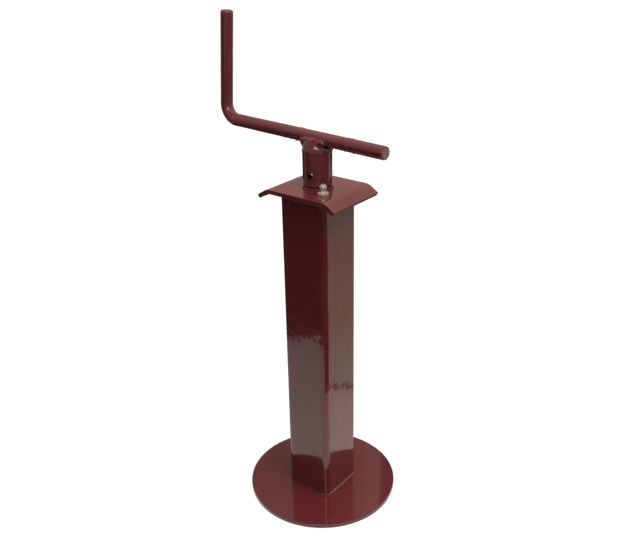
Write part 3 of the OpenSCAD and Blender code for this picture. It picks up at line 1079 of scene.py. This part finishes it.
@dataclass(frozen=True)
class HubWeld:
    """The heavy weld between bar and hub: lumps under the arm and beside it, and a collar.

    Its sizes are millimetres from the screw's axis and the hub's rim, on the straight crank.
    """

    toes: tuple[Triple, ...] = (
        (-12.6, -4.4, 2.6), (-14.6, -2.9, 2.2), (-16.4, -1.6, 1.7), (13.2, -3.6, 2.4))
    toe_rows: Triple = (-3.2, 0.0, 3.2)
    lumps: int = 9
    start: float = -12.2
    step: float = 3.0
    aside: float = 5.9
    up: float = 2.0
    climb: float = 0.25
    thick: float = 3.1
    pulse: float = 0.3
    lump_rows: int = 10
    lump_steps: int = 20
    collar: tuple[tuple[float, float], ...] = (
        (0, -9.2), (12.8, -9.2), (13.5, -8.4), (13.75, -7.2), (13.5, -5.0), (12.8, -2.6),
        (11.9, 0.0), (10.8, 2.4), (9.2, 4.4), (6.8, 5.9), (0, 6.3))
    voxel: float = 0.4
    evening: float = 0.5
    evening_rounds: int = 24
    swells: tuple[tuple[float, float], ...] = ((0.6, 8), (0.08, 2.6))

    def laid(self, turned: Callable[[Vector], Vector]) -> Mesh:
        """Lays the weld over the hub's rim.

        Args:
            turned: Turns a point of the straight crank to its place in the closed jack.

        Returns:
            The weld's mesh.
        """
        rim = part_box("crank_hub")[1].z
        skin = Skin()
        for x, z, radius in self.toes:
            for y in self.toe_rows:
                self.lump(skin, Vector((x * MM, y * MM, rim + z * MM)), radius * MM)
        for i in range(self.lumps):
            for side in (-1, 1):
                spot = Vector((self.step * i + self.start, side * self.aside,
                               self.up + self.climb * (i % 3))) * MM
                self.lump(skin, spot + lift(rim), (self.thick + self.pulse * (i % 2)) * MM)
        collar = lathe([(radius * MM, rim + z * MM) for radius, z in self.collar])
        passes = skin.moved(turned).mesh("passes")
        mesh = worked(joined(passes, collar.mesh("collar")),
                      ("REMESH", {"mode": "VOXEL", "voxel_size": self.voxel * MM}),
                      ("SMOOTH", {"factor": self.evening, "iterations": self.evening_rounds}))
        for point in mesh.vertices:
            swell = sum(high * noise.noise(point.co / (grain * MM))
                        for high, grain in self.swells)
            point.co += point.normal * (swell * MM)
        return mesh

    def lump(self, skin: Skin, centre: Vector, radius: float) -> None:
        """Adds one round lump of weld metal to a skin.

        Args:
            skin: The skin, which is changed.
            centre: The lump's centre.
            radius: Its radius.
        """
        rows = [circle(radius * sin(a), self.lump_steps, centre - lift(radius * cos(a)))
                for a in (pi * i / self.lump_rows for i in range(1, self.lump_rows))]
        skin.stack([[centre - lift(radius)], *rows, [centre + lift(radius)]])


@dataclass
class Crank(SubAssembly):
    """The bent bar, the hub that it is welded to and the pin through the hub."""

    body: Body = Body.CRANK
    turn: float = radians(-5)
    bar: float = 6.0 * MM
    reach: float = 121.0 * MM
    tail: float = 77.5 * MM
    grip: float = 101.5 * MM
    elbow: float = 14.0 * MM
    lean: float = radians(5.5)
    arm_rows: int = 60
    elbow_rows: int = 20
    grip_rows: int = 30
    saddle: float = 1.5 * MM
    tail_round: float = 1.1 * MM
    grip_round: float = 1.9 * MM
    end_steps: int = 5
    end_clear: float = 1.2
    uneven: float = 0.09 * MM
    uneven_grain: float = 14 * MM
    uneven_seed: int = 1
    steps: int = 40
    shank: float = 9.555 * MM
    hub_edge: float = 0.5 * MM
    bore_edge: float = 0.2 * MM
    ground_back: float = 7.5 * MM
    ground_in: float = 3 * MM
    pin_up: float = 10.5 * MM
    pin_turn: float = radians(-78)
    pin: float = 3.175 * MM
    pin_wall: float = 1.1 * MM
    pin_slot: float = 0.9 * MM
    pin_edge: float = 0.8 * MM
    pin_steps: int = 40
    bar_play: float = 0.05 * MM
    pin_play: float = 0.03 * MM
    hub_weld: HubWeld = HubWeld()
    spatter: Spatter = Spatter(17 * MM, 75 * MM, 3.4e4, 0.5 * MM, 1.2 * MM, seed=4)

    def build(self) -> None:
        """Builds and finishes every piece of the crank that shows."""
        bar = self.bent_bar()
        drops = self.spatter.strewn(bar, self.set_round(lift(self.arm_z)), WELD_PAINT)
        self.put("crank_bar", bar, LIT_BAR_PAINT, "crank_handle")
        self.put("crank_spatter", drops, WELD_PAINT)
        self.put("crank_weld", self.hub_weld.laid(self.set_round), WELD_PAINT, "hub_weld",
                 sharp=180.0)
        self.put("crank_socket", self.socket(), LIT_BAR_PAINT, "crank_hub")
        self.put("socket_pin", self.spring_pin(), PIN_STEEL, "hub_pin")

    @property
    def arm_z(self) -> float:
        """Height of the arm's axis."""
        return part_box("crank_hub")[1].z - self.saddle + self.bar

    def set_round(self, point: Vector) -> Vector:
        """Turns a point of the straight crank to its place in the closed jack."""
        return Matrix.Rotation(self.turn, 3, "Z") @ point

    def stations(self) -> list[tuple[Vector, Vector, float]]:
        """Walks the bar from the tail's end to the grip's top.

        Returns:
            The centre, the direction and the radius at each ring.
        """
        bend = pi / 2 + self.lean
        leg = self.elbow * tan(bend / 2)
        corner_x = leg - self.reach
        run = self.tail - corner_x

        def on_elbow(a: float) -> tuple[Vector, Vector]:
            """Returns the place and the direction at that angle round the elbow."""
            return (Vector((corner_x - self.elbow * sin(a), 0, self.elbow * (1 - cos(a)))),
                    Vector((-cos(a), 0, sin(a))))
        way = [(Vector((self.tail - run * i / self.arm_rows, 0, 0)), -EAST)
               for i in range(self.arm_rows)]
        way += [on_elbow(bend * i / self.elbow_rows) for i in range(self.elbow_rows)]
        start, along = on_elbow(bend)
        length = self.grip / cos(self.lean) - leg
        way += [(start + along * (length * i / self.grip_rows), along)
                for i in range(self.grip_rows + 1)]
        (tail, inward), (top, _) = way[0], way[-1]
        first = self.rounding(tail, -inward, self.tail_round)
        last = self.rounding(top, along, self.grip_round)
        clear = [(centre, way_on, self.bar) for centre, way_on in way[1:-1]
                 if (centre - tail).length > self.tail_round * self.end_clear
                 and (centre - top).length > self.grip_round * self.end_clear]
        return [(c, -d, r) for c, d, r in reversed(first)] + clear + last

    def rounding(self, end: Vector, out: Vector, soft: float
                 ) -> list[tuple[Vector, Vector, float]]:
        """Returns the rings of a bar end that is rounded off by soft, from the bar outwards."""
        quarter = [pi / 2 * i / self.end_steps for i in range(self.end_steps + 1)]
        return [(end + out * (soft * (sin(a) - 1)), out, self.bar - soft * (1 - cos(a)))
                for a in quarter]

    def bent_bar(self) -> Mesh:
        """Builds the bar, which is a little uneven, as rolled.

        Returns:
            The bar's mesh.
        """
        walk, arm = self.stations(), lift(self.arm_z)
        rings = [circle(radius, self.steps, centre, NORTH.cross(along), NORTH)
                 for centre, along, radius in walk]

        def placed(point: Vector) -> Vector:
            """Lifts a point to the arm's height, turns it and makes it uneven."""
            lifted = self.set_round(point + arm)
            return lifted + noise.noise_vector(lifted / self.uneven_grain) * self.uneven
        noise.seed_set(self.uneven_seed)
        skin = Skin().stack([[walk[0][0]], *rings, [walk[-1][0]]])
        return skin.moved(placed).mesh("bar")

    def socket(self) -> Mesh:
        """Builds the hub tube with its pin hole and its saddle for the bar.

        Returns:
            The hub's mesh.
        """
        low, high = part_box("crank_hub")
        outer = (high.x - low.x) / 2
        walls = [(self.shank, low.z, self.bore_edge), (outer, low.z, self.hub_edge),
                 (outer, high.z - self.ground_back, self.hub_edge),
                 (outer - self.ground_in, high.z, self.hub_edge),
                 (self.shank, high.z, self.bore_edge)]
        tube = lathe(rounded(walls), steps=128, closed=True).mesh("socket")
        saddle, arm = EAST * (4 * outer), lift(self.arm_z)
        across = Matrix.Rotation(self.pin_turn, 3, "Z") @ (EAST * (2 * outer))
        level = lift(low.z + self.pin_up)
        made = cut(tube, rod(self.bar + self.bar_play, arm - saddle, arm + saddle, steps=64),
                   rod(self.pin + self.pin_play, level - across, level + across, steps=64))
        made.transform(Matrix.Rotation(self.turn, 4, "Z"))
        return made

    def spring_pin(self) -> Mesh:
        """Builds the rolled pin with its slot and its chamfered ends.

        Returns:
            The pin's mesh.
        """
        low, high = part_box("crank_hub")
        half, soft = (high.x - low.x) / 2, self.pin_edge
        gap = asin(self.pin_slot / 2 / self.pin)
        turns = [gap + (2 * pi - 2 * gap) * i / self.pin_steps
                 for i in range(self.pin_steps + 1)]

        def c_ring(radius: float, x: float) -> list[Vector]:
            """Draws the pin's C-shaped section.

            Args:
                radius: The section's outer radius.
                x: Its place along the pin.

            Returns:
                The section's points.
            """
            inner = self.pin - self.pin_wall
            walk = [(radius, a) for a in turns] + [(inner, a) for a in reversed(turns)]
            return [Vector((x, r * cos(a), r * sin(a))) for r, a in walk]
        skin = Skin()
        rings = [skin.ring(c_ring(radius, x)) for radius, x in (
            (self.pin - soft, -half), (self.pin, soft - half), (self.pin, half - soft),
            (self.pin - soft, half))]
        for near, far in zip(rings, rings[1:]):
            skin.band(near, far)
        for ring in (rings[0], rings[-1]):
            skin.faces += [(ring[i], ring[i + 1], ring[-i - 2], ring[-i - 1])
                           for i in range(self.pin_steps)]
        mesh = skin.mesh("pin")
        mesh.transform(Matrix.Translation(lift(low.z + self.pin_up))
                       @ Matrix.Rotation(self.turn + self.pin_turn, 4, "Z"))
        return mesh


@dataclass
class Drive(SubAssembly):
    """The lead screw, its collar and its bearing, which the tube hides."""

    body: Body = Body.CRANK

    def build(self) -> None:
        """Finishes the drive's pieces."""
        self.dress(GREASED, "lead_screw", "thrust_collar", "screw_stop_washer")
        self.dress(GROUND, "collar_pin", "bearing_lower_race", "screw_stop_pin",
                   "bearing_balls")
        self.dress(BRASS, "bearing_cage")


@dataclass
class Foot(SubAssembly):
    """The sliding inner tube with its nut and the round foot."""

    body: Body = Body.FOOT
    rim: float = 0.7 * MM
    inner_corner: float = 5.0 * MM
    inner_rings: tuple[float, ...] = (0.2, 0.5, 0.8)
    foot_bead: Bead = Bead(1.6 * MM, 1.9 * MM, 1.5 * MM, 3.4 * MM, 0.3 * MM, 1.2 * MM)
    bead_shift: float = 0.5 * MM

    def build(self) -> None:
        """Builds and finishes the foot's pieces."""
        self.put("foot_disc", self.disc(), SHADED_FOOT_PAINT, "foot_plate")
        self.put("foot_bead", self.bead(), HIGHLIT_BEAD_PAINT, "foot_weld")
        self.dress(GREASED, "inner_tube", "nut_plug_welds")
        self.dress(BRASS, "lift_nut")

    def bead(self) -> Mesh:
        """Lays the flat rippled bead round the inner tube's foot.

        Returns:
            The bead's mesh.
        """
        bead = self.foot_bead.laid("inner_tube", self.inner_corner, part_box("inner_tube")[0].z,
                                   HIGHLIT_BEAD_PAINT)
        bead.transform(Matrix.Translation((self.bead_shift, self.bead_shift, 0)))
        return bead

    def disc(self) -> Mesh:
        """Builds the round plate with its rim softened.

        Returns:
            The plate's mesh.
        """
        low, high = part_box("foot_plate")
        radius = (high.x - low.x) / 2
        half = [(0, 0), *[(radius * share, 0) for share in self.inner_rings],
                (radius, self.rim)]
        return lathe(rounded([(r, low.z, soft) for r, soft in half]
                             + [(r, high.z, soft) for r, soft in reversed(half)]),
                     steps=192).mesh("disc")


class Measure(Enum):
    """What a card's colour bands run along."""

    HEIGHT = "height above the floor"
    RADIUS = "distance from the screw's axis"


@dataclass(frozen=True)
class Card:
    """A glowing sheet that only the jack's gloss sees, as a studio's cards and flags.

    It runs round the jack from start to stop, in degrees. A wall stands at its radius, and a
    sheet that has an inner radius lies flat. The bands give a share of the card's reach and
    the colour there.
    """

    name: str
    radius: float
    low: float
    high: float
    start: float
    stop: float
    bands: tuple[tuple[float, Colour], ...]
    inner: float = 0.0
    measure: Measure = Measure.HEIGHT
    behind: float = 1.0
    slant: float = 0.0


BLACK = ((0.0, (0.010, 0.006, 0.008)),)
DARK = ((0.0, (0.02, 0.012, 0.012)),)

CARDS = (
    Card("flag_left", 0.345, 0.0005, 0.21, 178, 316, BLACK),
    Card("flag_corner", 0.225, 0.0005, 0.21, 312, 395, BLACK),
    Card("card_left", 0.7, 0.06, 0.40, 190, 213, ((0.0, (0.17, 0.13, 0.12)),)),
    Card("flag_grip", 0.197, 0.316, 0.40, 62, 84, DARK),
    Card("flag_high", 0.7, 0.06, 0.40, 213, 250, DARK),
    Card("flag_top", 1.5, 1.69, 1.69, 212, 285, ((0.0, (0.05, 0.04, 0.04)),), inner=0.3),
    # card_right's darkest bands, at its foot, are a painted shadow line along the card's base,
    # which the tube's right face mirrors.
    Card("card_right", 0.197, 0.0065, 0.30, 36, 78, (
        (0.0, (0.04, 0.03, 0.03)), (0.029, (0.04, 0.03, 0.03)), (0.036, (0.14, 0.12, 0.11)),
        (0.052, (0.56, 0.58, 0.48)), (0.2, (0.49, 0.50, 0.40)), (0.32, (0.43, 0.41, 0.30)),
        (1.0, (0.36, 0.33, 0.26)))),
    Card("card_hub", 0.197, 0.301, 0.314, 36, 62, ((0.0, (0.38, 0.35, 0.28)),)),
    Card("card_tail", 0.197, 0.322, 0.355, 24, 36, ((0.0, (0.75, 0.70, 0.62)),)),
    Card("flag_back", 0.19, 0.0005, 0.30, 78, 104, ((0.0, (0.12, 0.09, 0.08)),)),
    Card("window_front", 1.2, 0.85, 1.35, -70, -34, ((0.0, (4.5, 4.3, 4.0)),)),
    Card("window_right", 1.2, 0.75, 1.6, 56, 122, (
        (0.0, (0.41, 0.27, 0.23)), (0.47, (0.41, 0.27, 0.23)), (0.6, (0.50, 0.35, 0.28)),
        (0.84, (0.55, 0.45, 0.34)))),
    Card("table", 1.6, 0.0004, 0.0004, 0, 360, (
        (0.05, (0.79, 0.69, 0.63)), (0.2, (0.56, 0.53, 0.48)), (0.45, (0.10, 0.08, 0.08))),
        inner=0.01, measure=Measure.RADIUS, behind=0.10, slant=0.05),
    Card("room_wall", 1.6, 0.0, 1.7, 0, 360, (
        (0.0, (0.30, 0.22, 0.20)), (0.45, (0.44, 0.29, 0.25)), (0.73, (0.32, 0.22, 0.18)),
        (1.0, (0.40, 0.32, 0.29)))),
    Card("ceiling", 1.6, 1.7, 1.7, 0, 360, ((0.0, (0.52, 0.44, 0.40)),), inner=0.0001),
)


@dataclass
class Studio:
    """The camera, the lamps, the floor and the cards that the gloss mirrors."""

    lens: float = 45.03
    sensor: float = 36.0
    clip: tuple[float, float] = (0.02, 100)
    eye: Triple = (0.42316, -0.53663, 0.55913)
    yaw: float = radians(38.596)
    pitch: float = radians(24.481)
    roll: float = radians(1.125)
    sky: float = 0.20
    floor_half: float = 15.0
    floor_tones: tuple[float, float] = (0.31, 0.33)
    floor_grain: float = 0.35
    floor_glow: float = 0.75
    card_step: float = 2.0
    behind_span: tuple[float, float] = (-0.8, -0.2)

    def build(self) -> None:
        """Sets up the whole studio."""
        bpy.context.scene.view_settings.view_transform = "Standard"
        self.camera()
        self.world()
        self.lamp("overhead", 2.35, 55.0, (0.25, -0.02, 1.0), mirrored=False)
        self.lamp("fill_right", 0.98, 25.0, (0.58, -0.10, 0.77), mirrored=False)
        self.lamp("spark_right", 0.3, 10.0, (0.50, 0.35, 0.79))
        self.floor()
        for card in CARDS:
            self.card(card)

    def camera(self) -> None:
        """Makes the camera at the photograph's angle."""
        data = bpy.data.cameras.new("camera")
        data.lens, data.sensor_width, data.sensor_fit = self.lens, self.sensor, "HORIZONTAL"
        data.clip_start, data.clip_end = self.clip
        ahead = Vector((-sin(self.yaw) * cos(self.pitch), cos(self.yaw) * cos(self.pitch),
                        -sin(self.pitch)))
        right = Vector((cos(self.yaw), sin(self.yaw), 0))
        down = ahead.cross(right)
        tilted = right * cos(self.roll) + down * sin(self.roll)
        below = down * cos(self.roll) - right * sin(self.roll)
        axes = Matrix((tilted, -below, -ahead)).transposed().to_4x4()
        camera = link(bpy.data.objects.new("camera", data))
        camera.matrix_world = Matrix.Translation(self.eye) @ axes
        bpy.context.scene.camera = camera

    def world(self) -> None:
        """Lights the scene with an even sky that shows as white."""
        world = bpy.data.worlds.new("sky")
        world.use_nodes = True
        g = Graph(world.node_tree)
        g.tree.nodes.clear()
        plain, white = (g.out("ShaderNodeBackground", {"Color": WHITE, "Strength": strength})
                        for strength in (self.sky, 1.0))
        g.add("ShaderNodeOutputWorld", {"Surface": self.picked(g, plain, white)})
        bpy.context.scene.world = world

    def picked(self, graph: Graph, lighting: Socket, shown: Socket) -> Socket:
        """Returns a shader for what camera, gloss or glass sees and one for other light.

        Args:
            graph: The tree that both shaders are in.
            lighting: The shader that lights the scene.
            shown: The shader that shows as the background.

        Returns:
            The shader that is one or the other.
        """
        path = graph.add("ShaderNodeLightPath").outputs
        looks = graph.calc("MAXIMUM", path["Is Camera Ray"], graph.calc(
            "MAXIMUM", path["Is Glossy Ray"], path["Is Transmission Ray"]))
        return graph.out("ShaderNodeMixShader", {0: looks, 1: lighting, 2: shown})

    def lamp(self, name: str, strength: float, width: float, come_from: Triple,
             mirrored: bool = True) -> None:
        """Makes a far lamp.

        Args:
            name: The lamp's name.
            strength: Its strength.
            width: How wide its disc looks, in degrees.
            come_from: The direction that it shines from.
            mirrored: Whether glossy surfaces mirror it.
        """
        data = bpy.data.lights.new(name, "SUN")
        data.energy, data.angle = strength, radians(width)
        lamp = link(bpy.data.objects.new(name, data))
        lamp.rotation_mode = "QUATERNION"
        lamp.rotation_quaternion = Vector(come_from).to_track_quat("Z", "Y")
        lamp.visible_glossy = mirrored

    def floor(self) -> None:
        """Makes the pale floor, which looks white but keeps the jack's shadow."""
        s = Shading("floor_white")
        dark, pale = ((tone, tone, tone) for tone in self.floor_tones)
        matt = s.out("ShaderNodeBsdfDiffuse", {
            "Color": s.blend(s.noise(s.place(), self.floor_grain, CLOUD_DETAIL), dark, pale)})
        glow = s.out("ShaderNodeEmission", {"Color": WHITE, "Strength": self.floor_glow})
        both = s.out("ShaderNodeAddShader", {0: matt, 1: glow})
        reach = self.floor_half
        floor = self.sheet("floor", [(-reach, -reach, 0), (reach, -reach, 0),
                                     (reach, reach, 0), (-reach, reach, 0)],
                           [(0, 1, 2, 3)], s.end(self.picked(s, matt, both)))
        self.stand(floor, under_foot=True)

    def card(self, card: Card) -> None:
        """Builds one card and hides it from all but the gloss.

        Args:
            card: The card.
        """
        steps = int((card.stop - card.start) / self.card_step)
        angles = [radians(card.start + (card.stop - card.start) * i / steps)
                  for i in range(steps + 1)]
        points = [(radius * cos(a), radius * sin(a), z)
                  for radius, z in ((card.inner or card.radius, card.low),
                                    (card.radius, card.high)) for a in angles]
        faces = [(i, i + 1, i + steps + 2, i + steps + 1) for i in range(steps)]
        piece = self.sheet(card.name, points, faces, self.card_glow(card))
        piece.visible_camera = piece.visible_diffuse = piece.visible_shadow = False
        piece.visible_transmission = piece.visible_volume_scatter = False
        self.stand(piece, under_foot=card.measure is Measure.RADIUS)

    def card_glow(self, card: Card) -> bpy.types.Material:
        """Makes a card's glow, in bands and dimmer behind the jack where the card says so.

        Args:
            card: The card.

        Returns:
            The glow's material.
        """
        s = Shading(card.name)
        x, y, z = s.add("ShaderNodeSeparateXYZ", {0: s.place()}).outputs
        flat = s.out("ShaderNodeCombineXYZ", {0: x, 1: y})
        measured, reach = z, card.high
        if card.measure is Measure.RADIUS:
            measured, reach = s.add("ShaderNodeVectorMath", {0: flat},
                                    operation="LENGTH").outputs["Value"], card.radius
        ramp = s.add("ShaderNodeValToRGB",
                     {0: s.ranged(measured, 0.0, reach, 0.0, 1.0, smooth=False)})
        stops = ramp.color_ramp.elements
        stops.remove(stops[-1])
        for i, (share, colour) in enumerate(card.bands):
            stop = stops[0] if i == 0 else stops.new(share)
            stop.position, stop.color = share, (*colour, 1.0)
        away = s.out("ShaderNodeVectorMath", {0: flat}, operation="NORMALIZE")
        front, side = self.facing(s, away, self.yaw - pi / 2), self.facing(s, away, self.yaw)
        lit = s.calc("MULTIPLY", s.ranged(front, *self.behind_span, card.behind, 1.0),
                     s.calc("ADD", 1.0, s.calc("MULTIPLY", side, card.slant)))
        return s.end(s.out("ShaderNodeEmission", {"Color": ramp.outputs[0], "Strength": lit}))

    def facing(self, graph: Graph, direction: Socket, angle: float) -> Socket:
        """Returns how far a direction agrees with the one at that angle from +X."""
        return graph.add("ShaderNodeVectorMath", {
            0: direction, 1: (cos(angle), sin(angle), 0.0)},
            operation="DOT_PRODUCT").outputs["Value"]

    def sheet(self, name: str, points: Sequence[Triple], faces: Sequence[tuple[int, ...]],
              material: bpy.types.Material) -> bpy.types.Object:
        """Makes a plain thing that isn't in the scene yet.

        Args:
            name: The thing's name.
            points: Its corners.
            faces: The corners of each face, by place in points.
            material: Its material.

        Returns:
            The thing.
        """
        mesh = bpy.data.meshes.new(name)
        mesh.from_pydata(points, [], faces)
        mesh.materials.append(material)
        return bpy.data.objects.new(name, mesh)

    def stand(self, thing: bpy.types.Object, under_foot: bool) -> None:
        """Links a thing of the studio into the scene.

        Args:
            thing: What goes on the stage.
            under_foot: Whether it is ground, which stays under the foot as the jack extends.
        """
        link(thing)
        if under_foot:
            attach(thing, Body.FOOT.value)


def main() -> None:
    """Dresses the jack and sets up the studio."""
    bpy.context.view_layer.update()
    for assembly in (Mast(), GreasePort(), Crank(), Drive(), Foot()):
        LOG.info("building %s", type(assembly).__name__)
        assembly.build()
    Studio().build()


if __name__ == "__main__":
    logging.basicConfig(level=logging.INFO, format="%(message)s")
    main()
